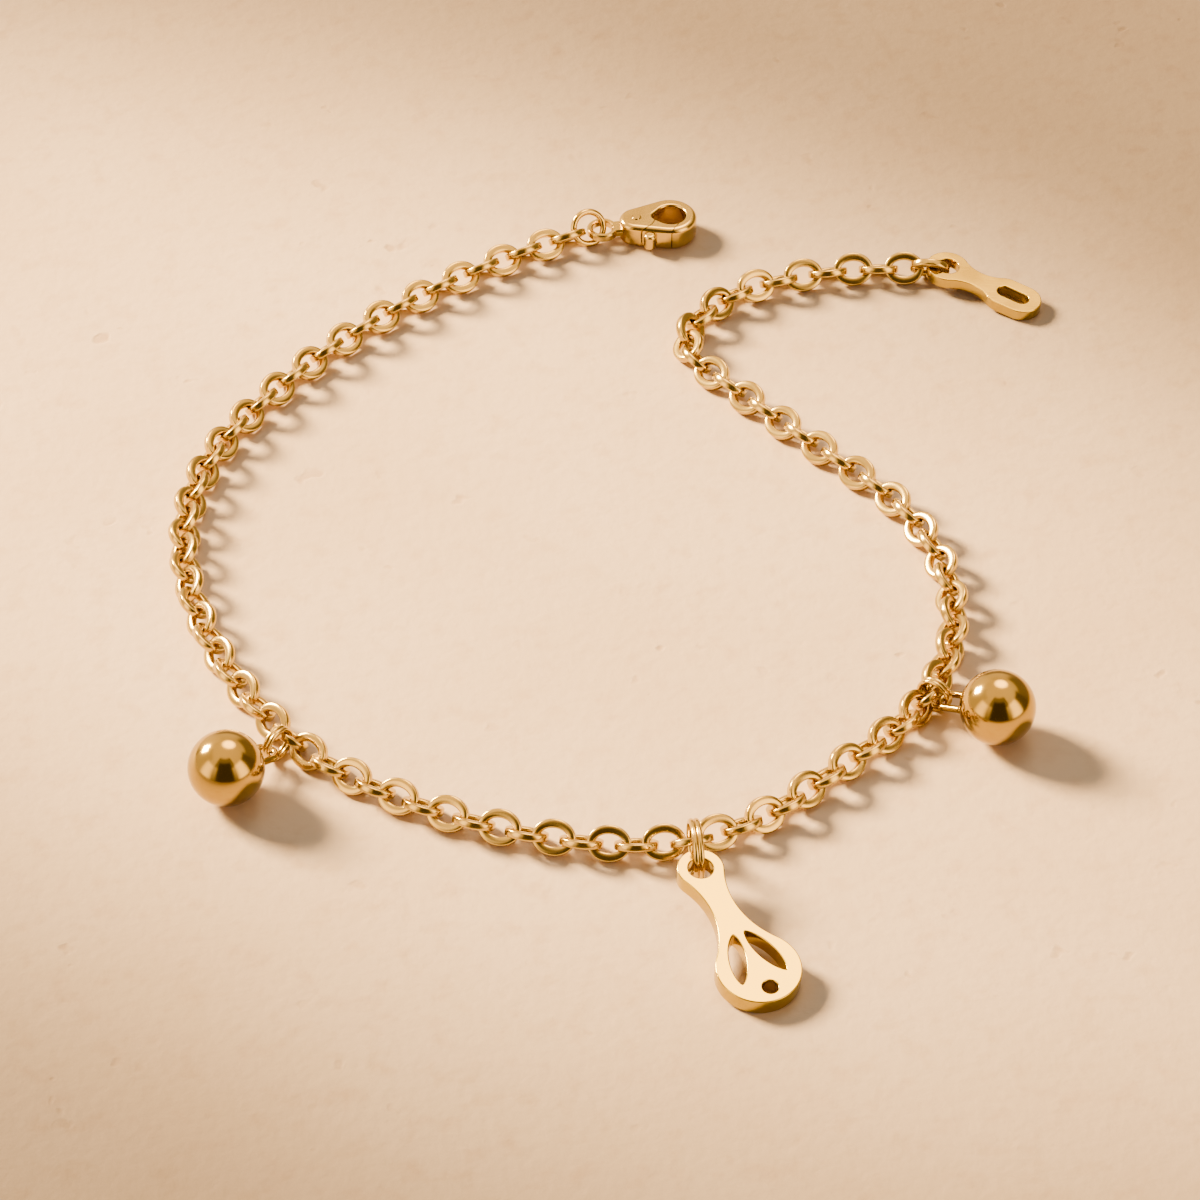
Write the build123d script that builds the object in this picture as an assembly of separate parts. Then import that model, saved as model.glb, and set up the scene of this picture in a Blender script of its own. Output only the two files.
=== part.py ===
from build123d import *
import os
from math import asin, atan, cos, hypot, radians, sin, sqrt, tan

# A charm anklet, unclasped and lying on a flat surface at z = 0: a cable chain with a lobster clasp
# at one end and a plate tag at the other, a pierced plate charm at its middle and two ball drops.
# Millimetres, +Z up. The wearer's ankle goes through the loop of the chain, along Z.

# ---- Driving dimensions ----------------------------------------------------------------------

# A chain link is a flat oval plate ring with bevelled rims.
LINK_LENGTH = 3.34
LINK_WIDTH = 2.78
LINK_BAND = 0.47
LINK_PLATE = 0.52
LINK_BEVEL = 0.12
LINK_ROLL = 45.0

# The lay of the chain from the clasp to the tag. It starts half a pitch before the first link.
CHAIN_START = (-3.41, 44.04)
START_HEADING = 205.8
# links: how many links the stretch holds; pitch: centre to centre; turn: degrees to the left
LAY = [
    (8, 2.15, 13.9),
    (10, 2.14, 19.7),
    (10, 1.97, 42.0),
    (9, 2.24, 27.2),
    (3, 2.24, 15.8),
    (10, 2.14, 27.8),
    (8, 2.10, 51.2),
    (4, 2.24, -0.2),
    (9, 1.95, 47.4),
    (8, 2.15, 42.9),
    (9, 2.19, -2.3),
    (3, 2.06, -70.6),
    (4, 2.12, -38.9),
    (7, 2.22, -31.1),
]
# The links that carry something, counted from the clasp
LEFT_BALL_LINK = 37
CHARM_LINK = 53
RIGHT_BALL_LINK = 65
# The chain is held as two runs that meet after this link.
CLASP_SIDE_LINKS = 59

# The rings at the balls and the charm are two round wires soldered side by side. wire is the
# wire's radius, spread how far each wire's centre is from the ring's middle plane, and seat where
# the ring crosses its link's hole, counted from the hole's middle towards the outer side wire.
# swing turns the ring from square to the chain, in degrees to the left.
BALL_RING_RADIUS = 1.30
BALL_RING_WIRE = 0.20
BALL_RING_SPREAD = 0.17
LEFT_BALL_SEAT = 0.15
LEFT_BALL_SWING = 8.0
RIGHT_BALL_SEAT = -0.55
RIGHT_BALL_SWING = -5.0
CHARM_RING_RADIUS = 2.20
CHARM_RING_WIRE = 0.24
CHARM_RING_SPREAD = 0.19
CHARM_RING_SEAT = 0.42
CHARM_RING_SWING = -8.0
# How far the charm pulls its link off the lay of the chain
CHARM_PULL = 0.28
# The clasp's ring is a single wire.
CLASP_RING_RADIUS = 1.40
CLASP_RING_WIRE = 0.28
CLASP_RING_ROLL = 60.0
CLASP_RING_SLACK = 0.25

# Ball drops, each with a U-shaped wire loop soldered on. reach is from the ball's middle to the
# middle of the loop's bend, root to the ends of the loop's legs inside the ball.
BALL_RADIUS = 3.0
BALL_LOOP_REACH = 4.45
BALL_LOOP_ROOT = 2.60
BALL_LOOP_RADIUS = 0.90
BALL_LOOP_WIRE = 0.25
BALL_LOOP_SLACK = 0.15

# The charm: a long pear-shaped plate with an eye, two leaf openings and a round one
CHARM_PLATE = 1.40
CHARM_EYE_RADIUS = 1.80
CHARM_EYE_HOLE = 0.95
CHARM_BOWL_RADIUS = 3.25
CHARM_BOWL_REACH = 10.03
CHARM_FLANK_RADIUS = 7.00
CHARM_LEAF_LENGTH = 5.00
CHARM_LEAF_WIDTH = 1.30
CHARM_LEAF_REACH = 8.81
CHARM_LEAF_OFFSET = 1.15
CHARM_LEAF_SPLAY = 17.0
CHARM_LEAF_TIP = 0.22
CHARM_DOT_RADIUS = 0.60
CHARM_DOT_REACH = 11.98
CHARM_HEADING = -65.0
# The eye's distance from its ring's middle
CHARM_EYE_REACH = 2.52
PLATE_BEVEL = 0.10

# The end tag: a plate with a round eye and a long slot for the clasp's hook
TAG_PLATE = 1.00
TAG_EYE_RADIUS = 1.85
TAG_EYE_HOLE = 0.95
TAG_END_RADIUS = 1.75
TAG_REACH = 5.60
TAG_END_STRAIGHT = 1.60
TAG_FLANK_RADIUS = 3.20
TAG_SLOT_WIDTH = 1.30
TAG_HEADING = -31.0
TAG_EYE_REACH = 1.52
# The last link is rolled further than the others, to let the tag's rim through.
LAST_LINK_ROLL = 62.0

# The lobster clasp lies on its flat side. u runs from its eye to its nose, v across.
CLASP_THICKNESS = 2.20
CLASP_HEADING = 8.0
CLASP_EYE_RADIUS = 1.35
CLASP_EYE_HOLE = 0.85
CLASP_EYE_THICKNESS = 0.70
# Where the eye's middle is from the ring's wire, along and across the clasp
CLASP_EYE_SHIFT = (-0.10, -0.20)
CLASP_EYE_BEVEL = 0.12
CLASP_NECK_START = 0.95
CLASP_NECK_END = 1.80
CLASP_NECK_WIDTH = 1.50
CLASP_PIVOT_U = 3.00
CLASP_BASE_RADIUS = 1.50
CLASP_NOSE_U = 5.95
CLASP_NOSE_RADIUS = 2.35
CLASP_MOUTH_U = 4.95
CLASP_MOUTH_SMALL = 0.55
CLASP_MOUTH_END_U = 6.05
CLASP_MOUTH_LARGE = 1.30
CLASP_OUTER_ROUNDING = 0.45
CLASP_INNER_ROUNDING = 0.20
CLASP_GAP = 0.08
CLASP_FORK_RADIUS = 1.60
RIVET_RADIUS = 0.40
HUB_RADIUS = 1.00
HUB_THICKNESS = 0.90
# The lever lies on the negative v side, up to a slanted cut that starts at the outline's foot.
LEVER_SIDE_V = -0.04
LEVER_CUT_FOOT = (5.745, -2.341)
LEVER_CUT_ANGLE = 52.0
LEVER_CUT_TOP_V = -0.90
LEVER_WEDGE_FROM = -75.0
LEVER_WEDGE_TO = -20.0
LEVER_SWING = 25.0
KNOB_PLACE = (3.90, -2.10)
KNOB_RADIUS = 0.55
KNOB_THICKNESS = 1.50
KNOB_ROUNDING = 0.30

UP = Vector(0, 0, 1)


# ---- The lay of the chain --------------------------------------------------------------------

def heading_vector(degrees):
    return Vector(cos(radians(degrees)), sin(radians(degrees)), 0)


def link_height(roll):
    """The height of a link's middle when the link, rolled that far, rests on the surface."""
    across = sin(radians(roll))
    upright = cos(radians(roll))
    on_face = (LINK_WIDTH / 2 - LINK_BEVEL) * across + LINK_PLATE / 2 * upright
    on_rim = LINK_WIDTH / 2 * across + (LINK_PLATE / 2 - LINK_BEVEL) * upright
    return max(on_face, on_rim)


def outward(heading):
    """The horizontal direction to the right of travel, which is the outside of the loop."""
    return heading_vector(heading - 90)


def link_stations():
    """The centre and heading of each link, stepping half a pitch and half a turn at a time."""
    here = Vector(CHAIN_START[0], CHAIN_START[1], link_height(LINK_ROLL))
    heading = START_HEADING
    stations = []
    for links, pitch, turn in LAY:
        half_turn = turn / links / 2
        for _ in range(links):
            here += heading_vector(heading + half_turn / 2) * (pitch / 2)
            heading += half_turn
            stations.append((here, heading))
            here += heading_vector(heading + half_turn / 2) * (pitch / 2)
            heading += half_turn
    pulled, heading = stations[CHARM_LINK]
    stations[CHARM_LINK] = (pulled + outward(heading) * CHARM_PULL, heading)
    last, heading = stations[-1]
    stations[-1] = (Vector(last.X, last.Y, link_height(LAST_LINK_ROLL)), heading)
    return stations


STATIONS = link_stations()


def rolled_plane(centre, heading, side, roll):
    """A plane along the chain whose normal leans from the vertical to one side."""
    normal = outward(heading) * (side * sin(radians(roll))) + UP * cos(radians(roll))
    return Plane(origin=centre, x_dir=heading_vector(heading), z_dir=normal)


# ---- Chain -----------------------------------------------------------------------------------

def link_solid():
    hole = SlotOverall(LINK_LENGTH - 2 * LINK_BAND, LINK_WIDTH - 2 * LINK_BAND)
    plate = extrude(SlotOverall(LINK_LENGTH, LINK_WIDTH) - hole, LINK_PLATE / 2, both=True)
    rims = plate.edges().filter_by(Axis.Z, reverse=True)
    return chamfer(rims, LINK_BEVEL).solid()


def chain_run(first, last):
    """Links first to last - 1, rolled in turn to the outside and to the inside of the loop."""
    link = link_solid()
    solids = []
    for index in range(first, last):
        centre, heading = STATIONS[index]
        side = 1 if index % 2 == 0 else -1
        roll = LAST_LINK_ROLL if index == len(STATIONS) - 1 else LINK_ROLL
        solids.append(link.moved(rolled_plane(centre, heading, side, roll).location))
    return Compound(children=solids)


# ---- Jump rings and ball drops ---------------------------------------------------------------

def twin_wire_ring(radius, wire, spread):
    """A ring about the Z axis made of two round wires side by side."""
    section = Pos(radius, spread) * Circle(wire) + Pos(radius, -spread) * Circle(wire)
    return revolve(Plane.XZ.location * section, Axis.Z)


def ring_place(index, swing, radius, wire, seat):
    """Where an upright ring through a link stands: its middle and its direction off the chain.

    swing turns the ring's plane about the vertical, away from square to the chain. The ring stands
    on the surface, outside the chain, and its centre line crosses the link's hole at the seat.
    """
    centre, heading = STATIONS[index]
    direction = heading_vector(heading - 90 + swing)
    crossing = centre + (direction + UP) * (seat / sqrt(2))
    rise = radius + wire - crossing.Z
    return crossing + direction * sqrt(radius**2 - rise**2) + UP * rise, direction


def upright_location(middle, direction):
    return Plane(origin=middle, x_dir=direction, z_dir=direction.cross(UP)).location


def ball_loop():
    """A bend about the origin, open towards -Y, and two straight legs."""
    leg_length = BALL_LOOP_REACH - BALL_LOOP_ROOT
    leg = Rot(90, 0, 0) * Cylinder(
        BALL_LOOP_WIRE, leg_length, align=(Align.CENTER, Align.CENTER, Align.MIN)
    )
    bend = Torus(BALL_LOOP_RADIUS, BALL_LOOP_WIRE, major_angle=180, align=None)
    return bend + Pos(BALL_LOOP_RADIUS, 0) * leg + Pos(-BALL_LOOP_RADIUS, 0) * leg


def ball_drop(ring_middle, direction):
    """A ball on the surface whose loop is hooked round the outer side of its ring."""
    loop_middle = ring_middle + direction * (BALL_RING_RADIUS + BALL_LOOP_SLACK)
    drop = BALL_RADIUS - loop_middle.Z
    run = sqrt(BALL_LOOP_REACH**2 - drop**2)
    ball_middle = loop_middle + direction * run + UP * drop
    toward_loop = (loop_middle - ball_middle).normalized()
    across = UP.cross(direction)
    loop_plane = Plane(origin=loop_middle, x_dir=across, z_dir=across.cross(toward_loop))
    drop_shape = Pos(*ball_middle) * Sphere(BALL_RADIUS)
    return (drop_shape + loop_plane.location * ball_loop()).solid()


# ---- Plates ----------------------------------------------------------------------------------

def waisted_face(first_radius, second_radius, reach, flank_radius):
    """Two round ends joined by hollow flanks, each flank one arc tangent to both ends."""
    near = first_radius + flank_radius
    far = second_radius + flank_radius
    x = (near**2 - far**2 + reach**2) / (2 * reach)
    y = sqrt(near**2 - x**2)
    first = (x * first_radius / near, y * first_radius / near)
    second = (reach + (x - reach) * second_radius / far, y * second_radius / far)
    edges = [
        ThreePointArc((first[0], -first[1]), (-first_radius, 0), first),
        ThreePointArc(first, (x, y - flank_radius), second),
        ThreePointArc(second, (reach + second_radius, 0), (second[0], -second[1])),
        ThreePointArc((second[0], -second[1]), (x, flank_radius - y), (first[0], -first[1])),
    ]
    return make_face(edges)


def leaf_face():
    half = CHARM_LEAF_LENGTH / 2
    bulge = CHARM_LEAF_WIDTH / 2
    edges = [
        ThreePointArc((-half, 0), (0, bulge), (half, 0)),
        ThreePointArc((half, 0), (0, -bulge), (-half, 0)),
    ]
    leaf = make_face(edges)
    return fillet(leaf.vertices(), CHARM_LEAF_TIP)


def bevelled_plate(face, thickness):
    plate = extrude(face, thickness / 2, both=True)
    rims = plate.edges().filter_by(Axis.Z, reverse=True)
    return chamfer(rims, PLATE_BEVEL).solid()


def leaning_location(eye, heading, reach, thickness):
    """A plate held up at its eye, whose far end, at the given reach, rests on the surface."""
    lean = asin(eye.Z / hypot(reach, thickness / 2)) - atan(thickness / 2 / reach)
    along = heading_vector(heading) * cos(lean) - UP * sin(lean)
    normal = heading_vector(heading) * sin(lean) + UP * cos(lean)
    return Plane(origin=eye, x_dir=along, z_dir=normal).location


def charm():
    face = waisted_face(CHARM_EYE_RADIUS, CHARM_BOWL_RADIUS, CHARM_BOWL_REACH, CHARM_FLANK_RADIUS)
    face -= Circle(CHARM_EYE_HOLE)
    face -= Pos(CHARM_DOT_REACH, 0) * Circle(CHARM_DOT_RADIUS)
    for side in (-1, 1):
        place = Pos(CHARM_LEAF_REACH, side * CHARM_LEAF_OFFSET) * Rot(0, 0, side * CHARM_LEAF_SPLAY)
        face -= place * leaf_face()
    return bevelled_plate(face, CHARM_PLATE)


def end_tag():
    far_middle = TAG_REACH + TAG_END_STRAIGHT / 2
    end_length = TAG_END_STRAIGHT + 2 * TAG_END_RADIUS
    face = waisted_face(TAG_EYE_RADIUS, TAG_END_RADIUS, TAG_REACH, TAG_FLANK_RADIUS)
    face += Pos(far_middle, 0) * SlotOverall(end_length, 2 * TAG_END_RADIUS)
    face -= Circle(TAG_EYE_HOLE)
    face -= Pos(far_middle, 0) * SlotOverall(TAG_END_STRAIGHT + TAG_SLOT_WIDTH, TAG_SLOT_WIDTH)
    return bevelled_plate(face, TAG_PLATE)


# ---- Clasp -----------------------------------------------------------------------------------

def drop_face(small_u, small_radius, large_u, large_radius):
    """A small and a large circle on the u axis with their common outer tangents."""
    lean = (small_radius - large_radius) / (large_u - small_u)
    rise = sqrt(1 - lean**2)
    small = (small_u + small_radius * lean, small_radius * rise)
    large = (large_u + large_radius * lean, large_radius * rise)
    edges = [
        Line(small, large),
        ThreePointArc(large, (large_u + large_radius, 0), (large[0], -large[1])),
        Line((large[0], -large[1]), (small[0], -small[1])),
        ThreePointArc((small[0], -small[1]), (small_u - small_radius, 0), small),
    ]
    return make_face(edges)


def claw_frame():
    """The rounded drop-shaped frame that the claw and its lever are both cut from."""
    outline = drop_face(CLASP_PIVOT_U, CLASP_BASE_RADIUS, CLASP_NOSE_U, CLASP_NOSE_RADIUS)
    mouth = drop_face(CLASP_MOUTH_U, CLASP_MOUTH_SMALL, CLASP_MOUTH_END_U, CLASP_MOUTH_LARGE)
    block = extrude(outline, CLASP_THICKNESS)
    block = fillet(block.edges().filter_by(Axis.Z, reverse=True), CLASP_OUTER_ROUNDING)
    block -= extrude(mouth, CLASP_THICKNESS)
    flats = block.faces().filter_by(Plane.XY)
    mouth_rims = [edge for flat in flats for wire in flat.inner_wires() for edge in wire.edges()]
    return fillet(mouth_rims, CLASP_INNER_ROUNDING).solid()


def pivot_disc(radius, low, high):
    disc = Cylinder(radius, high - low, align=(Align.CENTER, Align.CENTER, Align.MIN))
    return Pos(CLASP_PIVOT_U, 0, low) * disc


def lever_zone(clearance):
    """The side of the frame that the lever takes, up to a slanted cut across the claw's nose.

    The cut slants so that the lever's end lies behind the claw's tip and leaves it as it opens.
    """
    side_v = LEVER_SIDE_V + clearance
    foot_u = LEVER_CUT_FOOT[0] + clearance
    foot_v = LEVER_CUT_FOOT[1]
    deep_v = foot_v - 1.0
    slope = 1 / tan(radians(LEVER_CUT_ANGLE))
    top_u = foot_u + (LEVER_CUT_TOP_V - foot_v) * slope
    corners = [
        (0, side_v),
        (top_u, side_v),
        (top_u, LEVER_CUT_TOP_V),
        (foot_u + (deep_v - foot_v) * slope, deep_v),
        (0, deep_v),
    ]
    return extrude(make_face(Polyline(*corners, close=True)), CLASP_THICKNESS)


def hub(radius, thickness, wedge_from, wedge_to):
    """The disc round the rivet and the wedge that joins it to the lever's arm."""
    low = (CLASP_THICKNESS - thickness) / 2
    first = heading_vector(wedge_from) * (2 * CLASP_BASE_RADIUS)
    last = heading_vector(wedge_to) * (2 * CLASP_BASE_RADIUS)
    wedge = make_face(Polyline((0, 0), (first.X, first.Y), (last.X, last.Y), close=True))
    disc = pivot_disc(radius, low, low + thickness)
    return disc + Pos(CLASP_PIVOT_U, 0, low) * extrude(wedge, thickness)


def clasp_eye():
    low = (CLASP_THICKNESS - CLASP_EYE_THICKNESS) / 2
    disc = Circle(CLASP_EYE_RADIUS)
    neck_length = CLASP_NECK_END - CLASP_NECK_START
    neck = Pos(CLASP_NECK_START + neck_length / 2, 0) * Rectangle(neck_length, CLASP_NECK_WIDTH)
    eye = extrude(disc + neck - Circle(CLASP_EYE_HOLE), CLASP_EYE_THICKNESS)
    rims = eye.edges().filter_by(Axis.Z, reverse=True)
    return Pos(0, 0, low) * chamfer(rims, CLASP_EYE_BEVEL)


def clasp_body():
    """The claw, the fork that holds the lever's hub, and the eye for the jump ring."""
    fork = pivot_disc(CLASP_FORK_RADIUS, 0, CLASP_THICKNESS)
    body = claw_frame() - (lever_zone(CLASP_GAP) - fork)
    slot_thickness = HUB_THICKNESS + CLASP_GAP
    slot_to = LEVER_WEDGE_TO + LEVER_SWING + 5.0
    body -= hub(HUB_RADIUS + CLASP_GAP, slot_thickness, LEVER_WEDGE_FROM - 8.0, slot_to)
    body += clasp_eye()
    body -= pivot_disc(RIVET_RADIUS + 0.02, 0, CLASP_THICKNESS)
    return body.solid()


def clasp_lever():
    """The lever's arm, its hub between the fork's cheeks and its thumb knob."""
    frame = claw_frame()
    room = pivot_disc(CLASP_FORK_RADIUS + CLASP_GAP, 0, CLASP_THICKNESS)
    arm = frame & (lever_zone(0) - room)
    web = frame & hub(HUB_RADIUS, HUB_THICKNESS, LEVER_WEDGE_FROM, LEVER_WEDGE_TO)
    knob_low = (CLASP_THICKNESS - KNOB_THICKNESS) / 2
    knob_align = (Align.CENTER, Align.CENTER, Align.MIN)
    knob = Pos(KNOB_PLACE[0], KNOB_PLACE[1], knob_low) * Cylinder(
        KNOB_RADIUS, KNOB_THICKNESS, align=knob_align
    )
    lever = arm + web + fillet(knob.edges().filter_by(GeomType.CIRCLE), KNOB_ROUNDING)
    lever -= pivot_disc(RIVET_RADIUS + 0.05, 0, CLASP_THICKNESS)
    return lever.solid()


def clasp_rivet():
    rivet = pivot_disc(RIVET_RADIUS, 0.02, CLASP_THICKNESS + 0.08)
    return chamfer(rivet.edges().filter_by(GeomType.CIRCLE), 0.08).solid()


# ---- Assembly --------------------------------------------------------------------------------

def clasp_ring():
    """The ring that leans on the first link, its plane and the place of the clasp's eye."""
    centre, heading = STATIONS[0]
    backward = heading_vector(heading + 180)
    lean = radians(CLASP_RING_ROLL)
    reach = LINK_LENGTH / 2 - LINK_BAND + CLASP_RING_RADIUS - CLASP_RING_WIRE - CLASP_RING_SLACK
    height = CLASP_RING_RADIUS * sin(lean) + CLASP_RING_WIRE
    middle = centre + backward * reach + UP * (height - centre.Z)
    plane = rolled_plane(middle, heading, -1, CLASP_RING_ROLL)
    drop = (height - CLASP_THICKNESS / 2) / sin(lean)
    ahead = sqrt(CLASP_RING_RADIUS**2 - drop**2)
    wire = middle + backward * ahead - outward(heading) * (drop * cos(lean)) - UP * height
    along = heading_vector(CLASP_HEADING) * CLASP_EYE_SHIFT[0]
    across = heading_vector(CLASP_HEADING + 90) * CLASP_EYE_SHIFT[1]
    return plane.location * Torus(CLASP_RING_RADIUS, CLASP_RING_WIRE), wire + along + across


def clasp_location(eye):
    return Plane(origin=eye, x_dir=heading_vector(CLASP_HEADING), z_dir=UP).location


def tag_eye_place():
    centre, heading = STATIONS[-1]
    return centre + heading_vector(heading) * TAG_EYE_REACH


def all_nodes():
    nodes = {
        "chain_clasp_side": chain_run(0, CLASP_SIDE_LINKS),
        "chain_tag_side": chain_run(CLASP_SIDE_LINKS, len(STATIONS)),
    }
    nodes["clasp_ring"], clasp_eye_place = clasp_ring()
    clasp_place = clasp_location(clasp_eye_place)
    nodes["clasp_body"] = clasp_place * clasp_body()
    nodes["clasp_lever"] = clasp_place * clasp_lever()
    nodes["clasp_rivet"] = clasp_place * clasp_rivet()

    balls = [
        ("left", LEFT_BALL_LINK, LEFT_BALL_SWING, LEFT_BALL_SEAT),
        ("right", RIGHT_BALL_LINK, RIGHT_BALL_SWING, RIGHT_BALL_SEAT),
    ]
    for name, index, swing, seat in balls:
        middle, direction = ring_place(index, swing, BALL_RING_RADIUS, BALL_RING_WIRE, seat)
        ring = twin_wire_ring(BALL_RING_RADIUS, BALL_RING_WIRE, BALL_RING_SPREAD)
        nodes[name + "_ball_ring"] = upright_location(middle, direction) * ring
        nodes[name + "_ball"] = ball_drop(middle, direction)

    middle, direction = ring_place(
        CHARM_LINK, CHARM_RING_SWING, CHARM_RING_RADIUS, CHARM_RING_WIRE, CHARM_RING_SEAT
    )
    ring = twin_wire_ring(CHARM_RING_RADIUS, CHARM_RING_WIRE, CHARM_RING_SPREAD)
    nodes["charm_ring"] = upright_location(middle, direction) * ring
    charm_reach = CHARM_BOWL_REACH + CHARM_BOWL_RADIUS
    charm_eye = middle + direction * CHARM_EYE_REACH
    charm_place = leaning_location(charm_eye, CHARM_HEADING, charm_reach, CHARM_PLATE)
    nodes["charm"] = charm_place * charm()
    tag_reach = TAG_REACH + TAG_END_STRAIGHT + TAG_END_RADIUS
    tag_place = leaning_location(tag_eye_place(), TAG_HEADING, tag_reach, TAG_PLATE)
    nodes["end_tag"] = tag_place * end_tag()
    return nodes


def main():
    os.makedirs("parts", exist_ok=True)
    nodes = all_nodes()
    for name, shape in nodes.items():
        export_step(shape, "parts/" + name + ".step")
    box = Compound(children=list(nodes.values())).bounding_box()
    print("whole", box.min, box.max)


if __name__ == "__main__":
    main()
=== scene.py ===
"""Dresses a charm anklet: chain, rings, ball drops, plates and clasp, on a pale floor."""

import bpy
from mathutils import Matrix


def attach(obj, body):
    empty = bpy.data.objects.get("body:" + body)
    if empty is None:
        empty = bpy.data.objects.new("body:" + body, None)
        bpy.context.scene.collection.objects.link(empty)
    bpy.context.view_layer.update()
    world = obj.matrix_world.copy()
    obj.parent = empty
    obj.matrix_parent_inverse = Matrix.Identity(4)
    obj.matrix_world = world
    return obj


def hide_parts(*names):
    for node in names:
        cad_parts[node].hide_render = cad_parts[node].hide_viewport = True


bl_info = {
    "name": "Charm Anklet",
    "version": (1, 0, 0),
    "blender": (4, 5, 0),
    "location": "3D View > Sidebar > Anklet",
    "description": "Links, rings, ball drops, plates and clasp of a gold-coloured charm anklet",
    "category": "Object",
}

import bpy
import numpy as np
from bpy.props import FloatProperty, FloatVectorProperty, PointerProperty
from mathutils import Vector
from mathutils.geometry import tessellate_polygon

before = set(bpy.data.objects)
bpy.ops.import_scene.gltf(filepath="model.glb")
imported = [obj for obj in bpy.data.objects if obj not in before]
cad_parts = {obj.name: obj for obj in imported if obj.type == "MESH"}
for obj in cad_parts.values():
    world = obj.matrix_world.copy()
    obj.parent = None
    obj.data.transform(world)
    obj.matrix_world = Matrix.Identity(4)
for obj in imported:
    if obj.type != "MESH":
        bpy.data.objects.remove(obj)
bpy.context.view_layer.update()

MM = 0.001
UP = np.array([0.0, 0.0, 1.0])
BODY = "anklet"

# The lay of the chain from the clasp to the tag, starting half a pitch before the first link
CHAIN_START = np.array([-3.41, 44.04]) * MM
START_HEADING = 205.8
# Each row: links in the stretch, pitch in mm, degrees turned to the left
LAY = np.array([
    (8, 2.15, 13.9),
    (10, 2.14, 19.7),
    (10, 1.97, 42.0),
    (9, 2.24, 27.2),
    (3, 2.24, 15.8),
    (10, 2.14, 27.8),
    (8, 2.10, 51.2),
    (4, 2.24, -0.2),
    (9, 1.95, 47.4),
    (8, 2.15, 42.9),
    (9, 2.19, -2.3),
    (3, 2.06, -70.6),
    (4, 2.12, -38.9),
    (7, 2.22, -31.1),
])
CLASP_SIDE_LINKS = 59
CHARM_LINK = 53
# How far the charm's ring draws its link out of the line of the chain
CHARM_PULL = 0.28 * MM
# Each ball drop: its link, the seat of its ring in the link, the ring's swing in degrees
BALL_DROPS = {
    "left_ball": (37, 0.15 * MM, 8.0),
    "right_ball": (65, -0.55 * MM, -5.0),
}

# Corners of a link's section, as shares of the bevel's width set in across and down
BEVELLED_CORNER = [(1.0, 0.0), (0.0, 1.0)]
SOFT_CORNER = [(1.0, 0.0), (0.3, 0.3), (0.0, 1.0)]

# Points in each stretch of a plate's outline and steps in the rounding of its rims
ROUND_END_POINTS = 64
SHOULDER_POINTS = 12
FLANK_POINTS = 56
EYE_POINTS = 80
LIP_STEPS = 6

# Rows along each leg of a ball's loop, and how far along it the solder thins out
LEG_ROWS = 24
SOLDER_FADE = 0.16 * MM

# Each gold finish: roughness added to the common one, roughness the haze adds, and depth of lines
GOLD_FINISHES = {
    "chain gold": (0.01, 0.06, 1.0),
    "ring gold": (0.0, 0.05, 0.8),
    "ball gold": (-0.04, 0.03, 0.4),
    "charm gold": (0.0, 0.08, 1.0),
    "tag gold": (0.0, 0.08, 1.0),
    "clasp gold": (0.0, 0.05, 0.5),
}
# Polishing lines: two directions as turns in radians, and the noise's scale along each axis
LINE_TILT = (0.3, 0.2)
LINE_TURNS = (0.4, 1.9)
LINE_STRETCH = (260, 5200, 2600)
LINE_DETAIL = 2.0
# The part of the noise that becomes a line, and the depth of the deepest one
LINE_RANGE = (0.62, 0.74)
LINE_DEPTH = 0.0016 * MM
LINE_STRENGTH = 0.5
# Handling haze: its scale, the part of the noise it takes, and its tint of the gold
HAZE_SCALE = 420.0
HAZE_DETAIL = 3.0
HAZE_RANGE = (0.35, 0.70)
HAZE_TINT = (1.06, 1.10, 1.25)

# Each layer of the floor: noise scale, noise detail, and the noise where it starts and is full
MOTTLING = (38.0, 5.0, 0.35, 0.68)
GRAIN = (420.0, 3.0, 0.52, 0.80)
PIT_PATCHES = (60.0, 2.0, 0.50, 0.66)
PIT_SPECKS = (330.0, 2.0, 0.66, 0.72)
TOOTH = (900.0, 4.0, 0.2, 0.8)
# What each layer leaves of the floor's colour
MOTTLING_TINT = (0.93, 0.90, 0.86)
GRAIN_TINT = (0.86, 0.80, 0.74)
PIT_TINT = (0.72, 0.64, 0.56)
# How deep a pit is against the tooth of the surface, and the depth and strength of both
PIT_DEPTH = 1.5
TOOTH_DEPTH = 0.06 * MM
TOOTH_STRENGTH = 0.6
FLOOR_ROUGHNESS = 0.75
FLOOR_GLOSS = 0.25
# Half the floor's side in metres
FLOOR_HALF = 1.5

CAMERA_TARGET = np.array([-1.52, -2.20, 0.0]) * MM
CAMERA_OFFSET = np.array([0.0, -298.4, 271.6]) * MM
# Lens and sensor width in mm, and how near and how far the camera sees in metres
CAMERA_LENS = 150.0
CAMERA_SENSOR = 36.0
CAMERA_RANGE = (0.01, 20.0)
# The key light's direction in degrees from the back, its height in degrees and its side in metres
KEY_AZIMUTH = -59.0
KEY_ELEVATION = 30.0
KEY_SIZE = 0.27
# Middle of the painted pool of light, and where its painted shade starts and ends as shares of its
# size
PAINTED_POOL_MIDDLE = CAMERA_TARGET + np.array([-6, 4, 0]) * MM
PAINTED_POOL_EDGE = (0.25, 1.15)

# Brightness of the room by height: sine of the elevation and brightness
ROOM_HEIGHTS = [(0.00, 0.5), (0.25, 0.9), (0.55, 1.5), (0.95, 2.1), (1.00, 2.1)]
# Upright panels: azimuth, half width, low and high elevation in degrees, then brightness
ROOM_PANELS = [
    (0, 16, 12, 35, 1.9),
    (-32, 14, -5, 45, 2.2),
    (-85, 24, -5, 55, 1.4),
    (48, 22, -5, 34, 0.42),
    (86, 15, -5, 44, 0.22),
    (180, 42, 40, 72, 0.50),
    (-119, 12, 2, 40, 5.0),
    (122, 13, 2, 44, 6.0),
    (180, 27, -15, 58, 0.10),
]
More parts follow.
